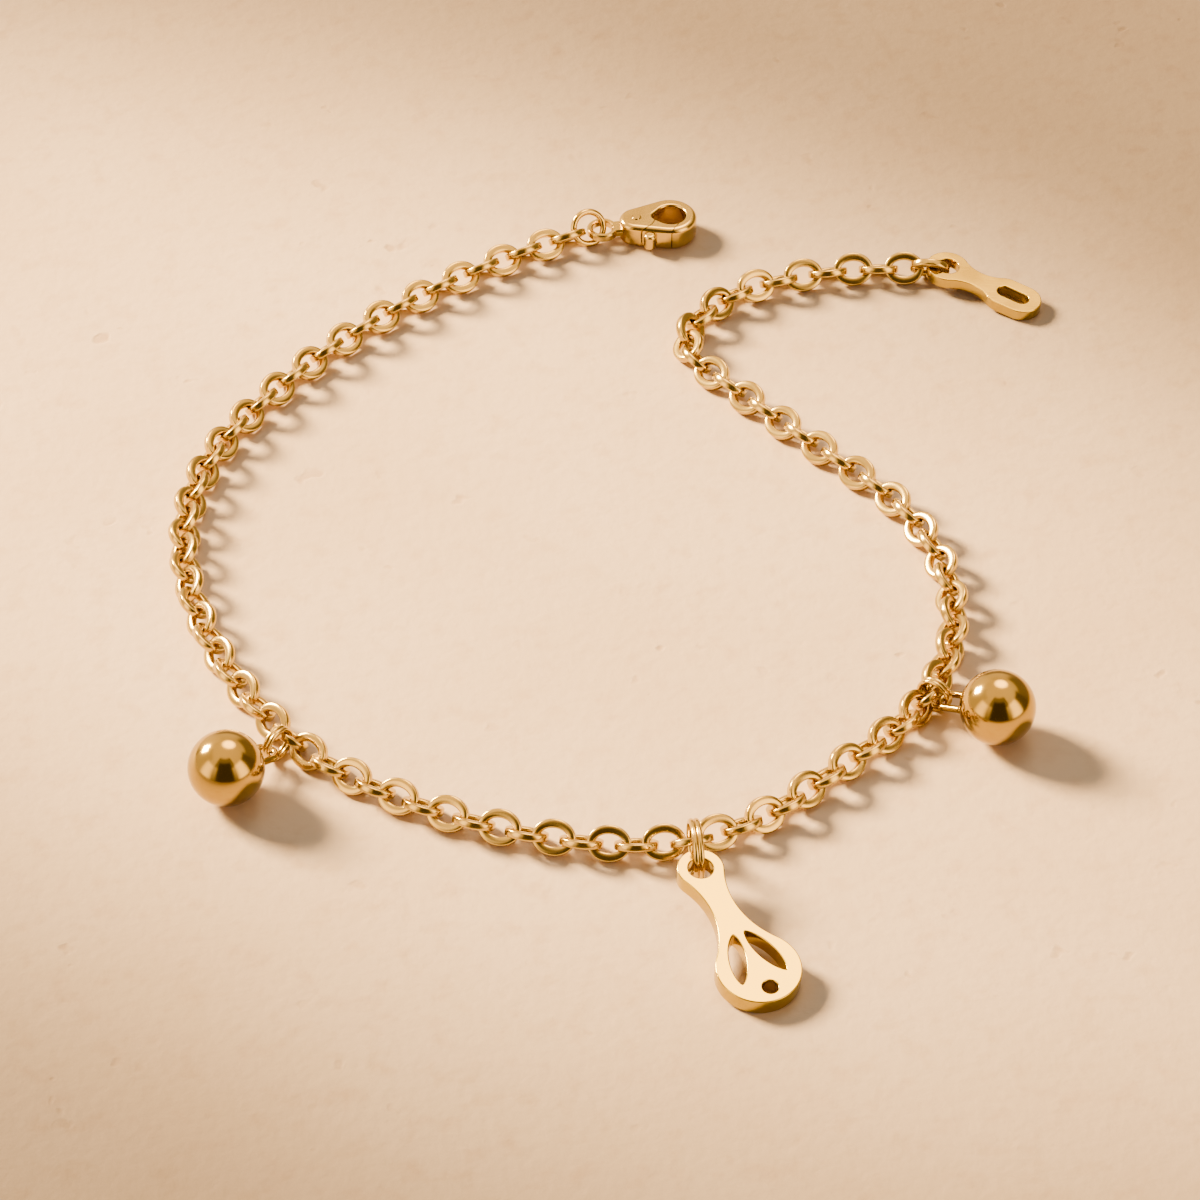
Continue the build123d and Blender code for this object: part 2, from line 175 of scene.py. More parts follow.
# Softness of the panels' sides, in cosines before and after the edge, and of their ends in degrees
PANEL_SIDES = (0.05, 0.03)
PANEL_FOOT = 4
PANEL_HEAD = 5
# The soft box above and behind: azimuth, elevation and radius in degrees, then brightness
ROOM_SOFT_BOX = (14, 60, 14, 14.5)
SOFT_BOX_EDGE = 0.022
# How much of the room's light reaches matt surfaces, which keeps the key's shadows deep
ROOM_FILL = 0.145


# ---- Settings ----

def length(name, description, millimetres):
    """A size that is given here in millimetres and kept in metres."""
    return FloatProperty(
        name=name, description=description, default=millimetres * MM, unit="LENGTH", precision=5
    )


def angle(name, description, degrees):
    """An angle that is given here in degrees and kept in radians."""
    return FloatProperty(
        name=name, description=description, default=np.radians(degrees), unit="ROTATION"
    )


def colour(name, description, rgb):
    """A colour from its red, green and blue shares in linear light."""
    return FloatVectorProperty(
        name=name, description=description, default=rgb, size=3, subtype="COLOR", min=0, max=1
    )


class AnkletChainSettings(bpy.types.PropertyGroup):
    link_length: length("Link length", "Outer length of one oval link", 3.34)
    link_width: length("Link width", "Outer width of one oval link", 2.78)
    link_band: length("Link band", "Width of the link's flat face", 0.47)
    link_plate: length("Link thickness", "Thickness across the two flat faces", 0.52)
    link_bevel: length("Link bevel", "Width of the bevel along each rim", 0.12)
    link_swell: length("Link swell", "How far the soft inner rim stands into the hole", 0.08)
    link_round: length("Link round", "How far the soft outer rim and the faces stand out", 0.05)
    link_waist: length("Link waist", "How much further the two long sides reach inward", 0.12)
    link_crown: length("Link crown", "How far the faces rise in their middle", 0.03)
    link_roll: angle("Link roll", "Lean of each link to one side and the other in turn", 45)
    last_roll: angle("Last link roll", "Lean of the link that carries the tag", 62)
    settle: angle("Settle", "How much flatter the inward-leaning links lie", 11)


class AnkletRingSettings(bpy.types.PropertyGroup):
    ball_radius: length("Ball ring radius", "Middle radius of the rings at the balls", 1.30)
    ball_wire: length("Ball ring wire", "Wire radius of the rings at the balls", 0.20)
    ball_spread: length("Ball ring spread", "Half the distance between the two wires", 0.17)
    charm_radius: length("Charm ring radius", "Middle radius of the charm's ring", 2.20)
    charm_wire: length("Charm ring wire", "Wire radius of the charm's ring", 0.24)
    charm_spread: length("Charm ring spread", "Half the distance between the two wires", 0.19)
    charm_seat: length("Charm ring seat", "Where the ring crosses its link's hole", 0.42)
    charm_swing: angle("Charm ring swing", "Turn of the ring away from square to the chain", -8)
    clasp_radius: length("Clasp ring radius", "Middle radius of the clasp's ring", 1.40)
    clasp_wire: length("Clasp ring wire", "Wire radius of the clasp's ring", 0.28)
    clasp_slack: length("Clasp ring slack", "Room between the ring and the first link", 0.25)
    clasp_roll: angle("Clasp ring roll", "Lean of the clasp's ring", 60)


class AnkletDropSettings(bpy.types.PropertyGroup):
    ball_radius: length("Ball radius", "Radius of each polished ball", 3.0)
    loop_reach: length("Loop reach", "Ball's middle to the middle of the loop's bend", 4.45)
    loop_root: length("Loop root", "Ball's middle to the buried ends of the loop's legs", 2.60)
    loop_radius: length("Loop radius", "Middle radius of the loop's bend", 0.90)
    loop_wire: length("Loop wire", "Wire radius of the loop", 0.28)
    loop_slack: length("Loop slack", "Ring's wire to the middle of the loop's bend", 0.15)
    solder: length("Solder", "How much the solder swells the wire where it meets the ball", 0.10)


class AnkletPlateSettings(bpy.types.PropertyGroup):
    charm_thickness: length("Charm thickness", "Thickness of the charm's plate", 1.40)
    charm_eye: length("Charm eye", "Outer radius of the charm's eye", 1.80)
    charm_hole: length("Charm eye hole", "Radius of the hole in the charm's eye", 0.95)
    charm_bowl: length("Charm bowl", "Radius of the charm's round end", 3.25)
    charm_reach: length("Charm reach", "Middle of the eye to the middle of the bowl", 10.03)
    charm_flank: length("Charm flank", "Radius of the charm's hollow flanks", 7.00)
    leaf_reach: length("Leaf reach", "Middle of the eye to the middle of the two leaves", 8.81)
    leaf_aside: length("Leaf aside", "Middle line to the middle of each leaf", 1.15)
    leaf_half: length("Leaf half length", "Half the length of each leaf-shaped opening", 2.28)
    leaf_bulge: length("Leaf bulge", "Half the width of each leaf-shaped opening", 0.64)
    leaf_lean: angle("Leaf lean", "Lean of each leaf away from the middle line", 17)
    dot_reach: length("Dot reach", "Middle of the eye to the small round opening", 11.98)
    dot: length("Dot", "Radius of the small round opening", 0.60)
    charm_eye_reach: length("Charm eye reach", "Ring's middle to the middle of the eye", 2.52)
    charm_heading: angle("Charm heading", "Direction of the charm on the surface", -65)
    tag_thickness: length("Tag thickness", "Thickness of the end tag", 1.00)
    tag_eye: length("Tag eye", "Outer radius of the tag's eye", 1.85)
    tag_hole: length("Tag eye hole", "Radius of the hole in the tag's eye", 0.95)
    tag_end: length("Tag end", "Radius of the tag's round end", 1.75)
    tag_reach: length("Tag reach", "Middle of the eye to the start of the slotted end", 5.60)
    tag_straight: length("Tag straight", "Length of the straight sides at the slot", 1.60)
    tag_flank: length("Tag flank", "Radius of the tag's hollow flanks", 3.20)
    tag_slot: length("Tag slot", "Width of the slot for the clasp's hook", 1.30)
    tag_eye_reach: length("Tag eye reach", "Last link's middle to the middle of the eye", 1.52)
    tag_heading: angle("Tag heading", "Direction of the tag on the surface", -31)
    lip: length("Lip", "Rounding along the plates' rims", 0.10)


class AnkletFinishSettings(bpy.types.PropertyGroup):
    gold: colour("Gold", "Colour of the polished links, rings and clasp", (0.520, 0.378, 0.086))
    ball_gold: colour("Ball gold", "Colour of the polished balls", (0.370, 0.256, 0.044))
    charm_gold: colour("Charm gold", "Colour of the polished charm", (0.46, 0.342, 0.032))
    tag_gold: colour("Tag gold", "Colour of the polished end tag", (0.47, 0.340, 0.042))
    roughness: FloatProperty(
        name="Roughness", description="Softness of the polish", default=0.15, min=0, max=1,
        subtype="FACTOR",
    )


class AnkletStageSettings(bpy.types.PropertyGroup):
    floor: colour("Floor", "Colour of the pale floor", (0.88, 0.665, 0.395))
    # Painted light: the floor's colour is painted pale in a pool across the key light and painted
    # darker far out
    pool: length("Pale pool", "How far the floor stays pale across the key light", 70)
    edge: FloatProperty(
        name="Edge shade", description="Share of the floor's paleness left far out", default=0.25,
        min=0, max=1, subtype="FACTOR",
    )
    key_power: FloatProperty(
        name="Key light power", description="Power of the large window-like light", default=79.0,
        unit="POWER",
    )
    key_colour: colour("Key light colour", "Colour of the window-like light", (1.0, 0.70, 0.42))
    warmth: colour("Warmth", "Colour of the light in the room", (1.0, 0.62, 0.32))
    shade: colour("Shade", "Colour of the room's light in the shadows", (0.94, 0.93, 0.98))
    room: FloatProperty(
        name="Room light", description="Strength of the soft light all round", default=1.25
    )


SETTINGS = {
    "anklet_chain": AnkletChainSettings,
    "anklet_rings": AnkletRingSettings,
    "anklet_drops": AnkletDropSettings,
    "anklet_plates": AnkletPlateSettings,
    "anklet_finish": AnkletFinishSettings,
    "anklet_stage": AnkletStageSettings,
}


# ---- Mesh helpers ----

def build_mesh(name, points, faces):
    """A smooth-shaded object at the origin from an (n, 3) array and lists of face indices."""
    mesh = bpy.data.meshes.new(name)
    mesh.from_pydata(points, [], faces)
    mesh.polygons.foreach_set("use_smooth", np.ones(len(mesh.polygons), bool))
    mesh.update()
    piece = bpy.data.objects.new(name, mesh)
    bpy.context.scene.collection.objects.link(piece)
    return piece


def grid_faces(rows, columns, wrap_rows, wrap_columns, first=0):
    """Quads between neighbouring rows and columns of a grid, closed round where asked."""
    row = np.arange(rows if wrap_rows else rows - 1)[:, None]
    column = np.arange(columns if wrap_columns else columns - 1)[None, :]
    next_row = (row + 1) % rows
    next_column = (column + 1) % columns
    corners = [
        row * columns + column,
        next_row * columns + column,
        next_row * columns + next_column,
        row * columns + next_column,
    ]
    return np.stack([c + first + 0 * (row + column) for c in corners], axis=-1).reshape(-1, 4)


def many_grids(name, grids):
    """One object from several closed grids, each a (rows, columns, 3) array."""
    points = []
    faces = []
    first = 0
    for grid in grids:
        rows, columns, _ = grid.shape
        faces.append(grid_faces(rows, columns, True, True, first))
        points.append(grid.reshape(-1, 3))
        first += rows * columns
    return build_mesh(name, np.concatenate(points), np.concatenate(faces).tolist())


def even_shading(piece):
    """Keeps flat faces flat in shading, and lets only the narrow roundings turn the light."""
    modifier = piece.modifiers.new("even shading", "WEIGHTED_NORMAL")
    modifier.keep_sharp = True


def finish_piece(piece, node, material):
    """Gives a piece its material and body, in the place of the node it stands for."""
    piece.data.materials.append(material)
    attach(piece, BODY)
    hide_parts(node)


# ---- The lay of the chain ----

def headings(degrees):
    """Unit vectors in the floor's plane for angles in degrees."""
    radians = np.radians(degrees)
    return np.stack([np.cos(radians), np.sin(radians), 0 * radians], axis=-1)


def link_height(settings, roll, corner, grown=0.0):
    """Height of a rolled link's middle when the lowest point of its corner is on the surface."""
    half_width = settings.link_width / 2 + grown
    half_plate = settings.link_plate / 2 + grown
    bevel = settings.link_bevel
    points = [
        (half_width - across * bevel) * np.sin(roll) + (half_plate - down * bevel) * np.cos(roll)
        for across, down in corner
    ]
    return np.max(points, axis=0)


def link_stations(settings):
    """Middles, headings in degrees and signed rolls of all links.

    The chain goes on in half pitches. The heading is the running sum of the half turns, and the
    place is the running sum of the half pitches, each along its mean heading.
    """
    links = LAY[:, 0].astype(int)
    step = np.repeat(LAY[:, 1] / 2 * MM, 2 * links)
    half_turn = np.repeat(LAY[:, 2] / links / 2, 2 * links)
    heading = START_HEADING + np.cumsum(half_turn)
    along = headings(heading - half_turn / 2) * step[:, None]
    place = np.cumsum(along, axis=0)[::2]
    place[:, :2] += CHAIN_START
    heading = heading[::2]
    roll = np.full(len(heading), settings.link_roll)
    roll[-1] = settings.last_roll
    place[:, 2] = link_height(settings, roll, BEVELLED_CORNER)
    place[CHARM_LINK] += headings(heading[CHARM_LINK] - 90) * CHARM_PULL
    side = np.where(np.arange(len(heading)) % 2 == 0, 1, -1)
    return place, heading, roll * side


# ---- Chain ----

def settled_stations(settings):
    """The stations with the free inward-leaning links laid flatter and every link on the floor."""
    place, heading, roll = link_stations(settings)
    free = roll == -settings.link_roll
    free[[CHARM_LINK] + [link for link, _, _ in BALL_DROPS.values()]] = False
    roll = roll + np.where(free, settings.settle, 0)
    resting = link_height(settings, np.abs(roll), SOFT_CORNER, settings.link_round)
    place[:, 2] = np.maximum(place[:, 2], resting)
    return place, heading, roll


def soft_section(width, thickness, bevel, crown):
    """A closed section: a rectangle with arcs of three points for corners and two domed faces."""
    half = np.array([width / 2, thickness / 2])
    corner = half - bevel * np.array(SOFT_CORNER[::-1])
    flip = corner[::-1]
    dome = np.array([(0, thickness / 2 + crown)])
    return np.concatenate([corner, dome, flip * (-1, 1), -corner, -dome, flip * (1, -1)])


def oval_track(full_length, full_width, inset, count):
    """Points set in from an ellipse along its normals, and the normals.

    The ellipse is half the length times the cosine and half the width times the sine. Its normal
    is the same with the two halves swapped, brought to unit length.
    """
    turn = np.linspace(0, 2 * np.pi, count, endpoint=False)
    round_turn = np.stack([np.cos(turn), np.sin(turn)], axis=-1)
    outward = round_turn * (full_width / 2, full_length / 2)
    outward /= np.linalg.norm(outward, axis=1)[:, None]
    return round_turn * (full_length / 2, full_width / 2) - outward * inset, outward


def link_surface(settings, count=34):
    """The link's surface as a (track, section, 3) grid: the section carried round the oval.

    The inner rim reaches further inward by the square of the normal's share across the link, so
    the two long sides are the broadest.
    """
    grown = settings.link_round
    band = settings.link_band + settings.link_swell + grown
    thickness = settings.link_plate + 2 * grown
    track, outward = oval_track(
        settings.link_length + 2 * grown, settings.link_width + 2 * grown, band / 2, count
    )
    section = soft_section(band, thickness, settings.link_bevel, settings.link_crown)
    inner = section[:, 0] < 0
    across = section[None, :, 0] - settings.link_waist * outward[:, 1:] ** 2 * inner
    flat = track[:, None, :] + outward[:, None, :] * across[..., None]
    height = np.broadcast_to(section[None, :, 1:], flat.shape[:2] + (1,))
    return np.concatenate([flat, height], axis=-1)


def chain_points(settings, first, last):
    """The link's surface turned and moved to each station, as (link, track, section, 3)."""
    place, heading, roll = (values[first:last] for values in settled_stations(settings))
    along = headings(heading)
    outward = headings(heading - 90)
    normal = outward * np.sin(roll)[:, None] + UP * np.cos(roll)[:, None]
    across = np.cross(normal, along)
    axes = np.stack([along, across, normal], axis=1)
    return np.einsum("tsi,lij->ltsj", link_surface(settings), axes) + place[:, None, None, :]


class ANKLET_OT_chain(bpy.types.Operator):
    """Makes the two runs of flat-faced oval links"""

    bl_idname = "anklet.chain"
    bl_label = "Make the chain"

    def execute(self, context):
        settings = context.scene.anklet_chain
        finish = context.scene.anklet_finish
        gold = polished_gold("chain gold", finish.gold, finish.roughness)
        total = int(LAY[:, 0].sum())
        runs = {
            "chain_clasp_side": (0, CLASP_SIDE_LINKS),
            "chain_tag_side": (CLASP_SIDE_LINKS, total),
        }
        for node, (first, last) in runs.items():
            piece = many_grids(node + "_links", chain_points(settings, first, last))
            even_shading(piece)
            finish_piece(piece, node, gold)
        return {"FINISHED"}


# ---- Rings and ball drops ----

def wire_ring(radius, wire, offset, axes, middle, count=96, sides=20):
    """A round wire bent to a circle: the wire's circle carried round at an offset along the axis."""
    turn = np.linspace(0, 2 * np.pi, count, endpoint=False)[:, None]
    round_wire = np.linspace(0, 2 * np.pi, sides, endpoint=False)[None, :]
    reach = radius + wire * np.cos(round_wire)
    rise = offset + wire * np.sin(round_wire) + 0 * turn
    local = np.stack([reach * np.cos(turn), reach * np.sin(turn), rise], axis=-1)
    return local @ axes + middle


def ring_place(chain, index, swing, radius, wire, seat):
    """The middle of an upright ring that stands on the floor and its direction off the chain."""
    place, heading, _ = link_stations(chain)
    direction = headings(heading[index] - 90 + swing)
    crossing = place[index] + (direction + UP) * seat / np.sqrt(2)
    rise = radius + wire - crossing[2]
    return crossing + direction * np.sqrt(radius**2 - rise**2) + UP * rise, direction


def ball_ring_place(chain, rings, name):
    """The middle and the direction of the ring that carries a ball."""
    link, seat, swing = BALL_DROPS[name]
    return ring_place(chain, link, swing, rings.ball_radius, rings.ball_wire, seat)


def charm_ring_place(chain, rings):
    """The middle and the direction of the ring that carries the charm."""
    swing = np.degrees(rings.charm_swing)
    return ring_place(
        chain, CHARM_LINK, swing, rings.charm_radius, rings.charm_wire, rings.charm_seat
    )


def double_ring(radius, wire, spread, middle, direction):
    """Two equal upright wire rings side by side, in the plane of the direction."""
    axes = np.array([direction, UP, np.cross(direction, UP)])
    return [wire_ring(radius, wire, offset, axes, middle) for offset in (-spread, spread)]


def clasp_ring_place(chain, rings):
    """The middle and axes of the ring that leans between the first link and the clasp's eye."""
    place, heading, _ = link_stations(chain)
    backward = headings(heading[0] + 180)
    reach = chain.link_length / 2 - chain.link_band
    reach += rings.clasp_radius - rings.clasp_wire - rings.clasp_slack
    middle = place[0] + backward * reach
    middle[2] = rings.clasp_radius * np.sin(rings.clasp_roll) + rings.clasp_wire
    outward = headings(heading[0] - 90)
    normal = -outward * np.sin(rings.clasp_roll) + UP * np.cos(rings.clasp_roll)
    along = headings(heading[0])
    return middle, np.array([along, np.cross(normal, along), normal])


class ANKLET_OT_rings(bpy.types.Operator):
    """Makes the two-wire rings at the balls and the charm, and the clasp's ring"""

    bl_idname = "anklet.rings"
    bl_label = "Make the rings"

    def execute(self, context):
        chain = context.scene.anklet_chain
        rings = context.scene.anklet_rings
        finish = context.scene.anklet_finish
        gold = polished_gold("ring gold", finish.gold, finish.roughness)
        for name in BALL_DROPS:
            wires = double_ring(
                rings.ball_radius, rings.ball_wire, rings.ball_spread,
                *ball_ring_place(chain, rings, name),
            )
            finish_piece(many_grids(name + "_ring_wires", wires), name + "_ring", gold)

        wires = double_ring(
            rings.charm_radius, rings.charm_wire, rings.charm_spread,
            *charm_ring_place(chain, rings),
        )
        finish_piece(many_grids("charm_ring_wires", wires), "charm_ring", gold)

        middle, axes = clasp_ring_place(chain, rings)
        wire = wire_ring(rings.clasp_radius, rings.clasp_wire, 0, axes, middle)
        finish_piece(many_grids("clasp_ring_wire", [wire]), "clasp_ring", gold)
        return {"FINISHED"}


def ball_surface(middle, radius, axis, rows=72, columns=120):
    """A ball as rows of latitude about an axis, from just off one pole to just off the other."""
    side = np.cross(axis, UP)
    side /= np.linalg.norm(side)
    across = np.cross(axis, side)
    latitude = np.linspace(0, np.pi, rows + 2)[1:-1, None]
    longitude = np.linspace(0, 2 * np.pi, columns, endpoint=False)[None, :]
    out = np.sin(latitude)[..., None] * (
        np.cos(longitude)[..., None] * side + np.sin(longitude)[..., None] * across
    )
    return middle + radius * (out + np.cos(latitude)[..., None] * axis)


def loop_surface(settings, middle, across, toward, count=40, sides=20):
    """A wire carried up one leg, round the half-circle bend and down the other leg.

    The wire's radius swells near the ball's surface by a falling exponential, as solder does.
    """
    leg = np.linspace(settings.loop_root - settings.loop_reach, 0, LEG_ROWS, endpoint=False)
    bend = np.concatenate([0 * leg, np.linspace(0, np.pi, count), 0 * leg + np.pi])[:, None]
    along = np.concatenate([leg, np.zeros(count), leg[::-1]])
    outward = np.cos(bend) * across + np.sin(bend) * toward
    path = middle + settings.loop_radius * outward + along[:, None] * toward
    surface = np.sqrt(settings.ball_radius**2 - settings.loop_radius**2) - settings.loop_reach
    swell = settings.solder * np.exp(-np.abs(along - surface) / SOLDER_FADE)
    wire = settings.loop_wire + np.where(along < 0, swell, 0)
    turn = np.linspace(0, 2 * np.pi, sides, endpoint=False)[None, :, None]
    round_wire = np.cos(turn) * outward[:, None] + np.sin(turn) * np.cross(across, toward)
    return path[:, None] + wire[:, None, None] * round_wire


def ball_place(chain, rings, drops, name):
    """Middles of the loop's bend and of the ball, and the directions across and up the loop.

    The ball stands on the floor, so its middle is one radius up, and the loop leans to meet it.
    """
    ring_middle, direction = ball_ring_place(chain, rings, name)
    bend = ring_middle + direction * (rings.ball_radius + drops.loop_slack)
    rise = drops.ball_radius - bend[2]
    middle = bend + direction * np.sqrt(drops.loop_reach**2 - rise**2) + UP * rise
    return bend, middle, np.cross(UP, direction), (bend - middle) / drops.loop_reach


def drop_mesh(name, ball, poles, loop):
    """One object from the ball's rows, its two poles and the loop's tube with closed ends."""
    rows, columns, _ = ball.shape
    loop_rows, sides, _ = loop.shape
    top = rows * columns
    bottom = top + 1
    first = top + 2
    column = np.arange(columns)
    after = (column + 1) % columns
    low = (rows - 1) * columns
    side = first + np.arange(sides)
    caps = np.concatenate([
        np.stack([np.full(columns, top), column, after], axis=-1),
        np.stack([np.full(columns, bottom), low + after, low + column], axis=-1),
    ])
    faces = grid_faces(rows, columns, False, True).tolist() + caps.tolist()
    faces += grid_faces(loop_rows, sides, False, True, first).tolist()
    faces += [side.tolist(), (side[::-1] + (loop_rows - 1) * sides).tolist()]
    points = np.concatenate([ball.reshape(-1, 3), poles, loop.reshape(-1, 3)])
    return build_mesh(name, points, faces)


class ANKLET_OT_ball_drops(bpy.types.Operator):
    """Makes the two polished balls with their soldered wire loops"""

    bl_idname = "anklet.ball_drops"
    bl_label = "Make the ball drops"

    def execute(self, context):
        chain = context.scene.anklet_chain
        rings = context.scene.anklet_rings
        drops = context.scene.anklet_drops
        finish = context.scene.anklet_finish
        gold = polished_gold("ball gold", finish.ball_gold, finish.roughness)
        for name in BALL_DROPS:
            bend, middle, across, toward = ball_place(chain, rings, drops, name)
            ball = ball_surface(middle, drops.ball_radius, toward)
            pole = toward * drops.ball_radius
            loop = loop_surface(drops, bend, across, toward)
            piece = drop_mesh(name + "_drop", ball, [middle + pole, middle - pole], loop)
            finish_piece(piece, name, gold)
        return {"FINISHED"}


# ---- Plates ----

def arc(middle, radius, start, end, count):
    """Points on a circular arc from one angle to another, without the last one."""
    turn = np.linspace(start, end, count, endpoint=False)
    return np.array(middle) + radius * np.stack([np.cos(turn), np.sin(turn)], axis=-1)


def waisted_outline(first_radius, second_radius, reach, flank_radius, straight=0.0):
    """Two round ends joined by hollow flanks, each flank one arc tangent to both ends."""
    near = first_radius + flank_radius
    far = second_radius + flank_radius
    x = (near**2 - far**2 + reach**2) / (2 * reach)
    y = np.sqrt(near**2 - x**2)
    first = np.arctan2(y, x)
    second = np.arctan2(y, x - reach)
    return np.concatenate([
        arc((reach + straight, 0), second_radius, -np.pi / 2, np.pi / 2, ROUND_END_POINTS),
        arc((reach, 0), second_radius, np.pi / 2, second, SHOULDER_POINTS),
        arc((x, y), flank_radius, second - np.pi, first - np.pi, FLANK_POINTS),
        arc((0, 0), first_radius, first, 2 * np.pi - first, EYE_POINTS),
        arc((x, -y), flank_radius, np.pi - first, np.pi - second, FLANK_POINTS),
        arc((reach, 0), second_radius, -second, -np.pi / 2, SHOULDER_POINTS),
    ])


def round_hole(middle, radius, count=72):
    """A round opening, clockwise."""
    return arc(middle, radius, 2 * np.pi, 0, count)


def slot_hole(middle_x, straight, width, count=28):
    """A slot along the x axis, clockwise: two half circles joined by its straight sides."""
    half = straight / 2
    return np.concatenate([
        arc((middle_x + half, 0), width / 2, np.pi / 2, -np.pi / 2, count),
        arc((middle_x - half, 0), width / 2, -np.pi / 2, -3 * np.pi / 2, count),
    ])


def leaf_hole(middle, half_length, bulge, lean, count=96):
    """A leaf, clockwise: x is the cosine and y the sine to the power 1.5, which draws in its tips."""
    turn = np.linspace(2 * np.pi, 0, count, endpoint=False)
    x = half_length * np.cos(turn)
    y = bulge * np.sign(np.sin(turn)) * np.abs(np.sin(turn)) ** 1.5
    turned = np.stack([x * np.cos(lean) - y * np.sin(lean), x * np.sin(lean) + y * np.cos(lean)])
    return np.array(middle) + turned.T


def inward_directions(outline):
    """Unit normals into the metal, from the chord between each point's neighbours."""
    chord = np.roll(outline, -1, axis=0) - np.roll(outline, 1, axis=0)
    chord /= np.linalg.norm(chord, axis=1)[:, None]
    return np.stack([-chord[:, 1], chord[:, 0]], axis=-1)


def rim_profile(thickness, lip):
    """Inset and height of a rim's rows: a quarter circle over the top and one under the bottom."""
    quarter = np.linspace(0, np.pi / 2, LIP_STEPS)
    top = thickness / 2 - lip * (1 - np.cos(quarter))
    bottom = -thickness / 2 + lip * (1 - np.sin(quarter))
    inset = lip * np.concatenate([1 - np.sin(quarter), 1 - np.cos(quarter)])
    return inset, np.concatenate([top, bottom])


def filled_face(edges):
    """Triangles inside the first edge and outside the others, all turned the same way."""
    flat = [[Vector((*point, 0)) for point in edge] for edge in edges]
    triangles = np.array(tessellate_polygon(flat))
    corners = np.concatenate(edges)[triangles]
    one = corners[:, 1] - corners[:, 0]
    two = corners[:, 2] - corners[:, 0]
    turned = one[:, 0] * two[:, 1] - one[:, 1] * two[:, 0] < 0
    triangles[turned] = triangles[turned][:, ::-1]
    return triangles


def plate_surface(outlines, thickness, lip):
    """A plate from its outline and clockwise holes: rounded rims, then two flat faces.

    Each rim is a grid of the profile's rows, set back along the inward direction, with the
    upright wall between its two quarter circles. The faces fill the rims' edges.
    Gives the points, the rims' faces and the flat faces.
    """
    inset, height = rim_profile(thickness, lip)
    rows = len(inset)
    points = []
    rims = []
    edges = []
    top = []
    bottom = []
    first = 0
    for outline in outlines:
        count = len(outline)
        flat = outline + inset[:, None, None] * inward_directions(outline)
        rise = np.broadcast_to(height[:, None, None], (rows, count, 1))
        points.append(np.concatenate([flat, rise], axis=-1).reshape(-1, 3))
        rims += grid_faces(rows, count, False, True, first).tolist()
        edges.append(flat[0])
        top.append(first + np.arange(count))
        bottom.append(top[-1] + (rows - 1) * count)
        first += rows * count
    triangles = filled_face(edges)
    flats = np.concatenate(top)[triangles].tolist()
    flats += np.concatenate(bottom)[triangles[:, ::-1]].tolist()
    return np.concatenate(points), rims, flats


def leaning_axes(eye, heading, reach, thickness):
    """Axes of a plate held up at its eye, whose far end rests on the surface."""
    lean = np.arcsin(eye[2] / np.hypot(reach, thickness / 2)) - np.arctan(thickness / 2 / reach)
    level = headings(np.degrees(heading))
    along = level * np.cos(lean) - UP * np.sin(lean)
    normal = level * np.sin(lean) + UP * np.cos(lean)
    return np.array([along, np.cross(normal, along), normal])


def charm_outlines(plates):
    """The charm's outline, the hole in its eye, a small round opening and two leaning leaves."""
    outlines = [
        waisted_outline(
            plates.charm_eye, plates.charm_bowl, plates.charm_reach, plates.charm_flank
        ),
        round_hole((0, 0), plates.charm_hole),
        round_hole((plates.dot_reach, 0), plates.dot),
    ]
    for side in (1, -1):
        middle = (plates.leaf_reach, side * plates.leaf_aside)
        lean = side * plates.leaf_lean
        outlines.append(leaf_hole(middle, plates.leaf_half, plates.leaf_bulge, lean))
    return outlines


def tag_outlines(plates):
    """The tag's outline, the hole in its eye and the slot for the clasp's hook."""
    return [
        waisted_outline(
            plates.tag_eye, plates.tag_end, plates.tag_reach, plates.tag_flank,
            plates.tag_straight,
        ),
        round_hole((0, 0), plates.tag_hole),
        slot_hole(plates.tag_reach + plates.tag_straight / 2, plates.tag_straight, plates.tag_slot),
    ]


class ANKLET_OT_plates(bpy.types.Operator):
    """Makes the pierced charm and the slotted end tag"""

    bl_idname = "anklet.plates"
    bl_label = "Make the charm and the tag"

    def execute(self, context):
        chain = context.scene.anklet_chain
        plates = context.scene.anklet_plates
        finish = context.scene.anklet_finish

        middle, direction = charm_ring_place(chain, context.scene.anklet_rings)
        eye = middle + direction * plates.charm_eye_reach
        reach = plates.charm_reach + plates.charm_bowl
        axes = leaning_axes(eye, plates.charm_heading, reach, plates.charm_thickness)
        surface = plate_surface(charm_outlines(plates), plates.charm_thickness, plates.lip)
        gold = polished_gold("charm gold", finish.charm_gold, finish.roughness)
        self.place("charm_plate", "charm", surface, axes, eye, gold)

        stations, heading, _ = link_stations(chain)
        eye = stations[-1] + headings(heading[-1]) * plates.tag_eye_reach
        reach = plates.tag_reach + plates.tag_straight + plates.tag_end
        axes = leaning_axes(eye, plates.tag_heading, reach, plates.tag_thickness)
        surface = plate_surface(tag_outlines(plates), plates.tag_thickness, plates.lip)
        gold = polished_gold("tag gold", finish.tag_gold, finish.roughness)
        self.place("tag_plate", "end_tag", surface, axes, eye, gold)
        return {"FINISHED"}

    def place(self, name, node, surface, axes, eye, material):
        """Puts a plate at its eye and shades only its rims smooth."""
        points, rims, flats = surface
        piece = build_mesh(name, points @ axes + eye, rims + flats)
        smooth = np.arange(len(rims) + len(flats)) < len(rims)
        piece.data.polygons.foreach_set("use_smooth", smooth)
        finish_piece(piece, node, material)


# ---- Clasp ----

class ANKLET_OT_clasp(bpy.types.Operator):
    """Gives the lobster clasp, its lever and its rivet their polish"""

    bl_idname = "anklet.clasp"
    bl_label = "Finish the clasp"

    def execute(self, context):
        finish = context.scene.anklet_finish
        gold = polished_gold("clasp gold", finish.gold, finish.roughness)
        for node in ("clasp_body", "clasp_lever", "clasp_rivet"):
            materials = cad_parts[node].data.materials
            materials.clear()
            materials.append(gold)
        return {"FINISHED"}


# ---- Shader nodes ----

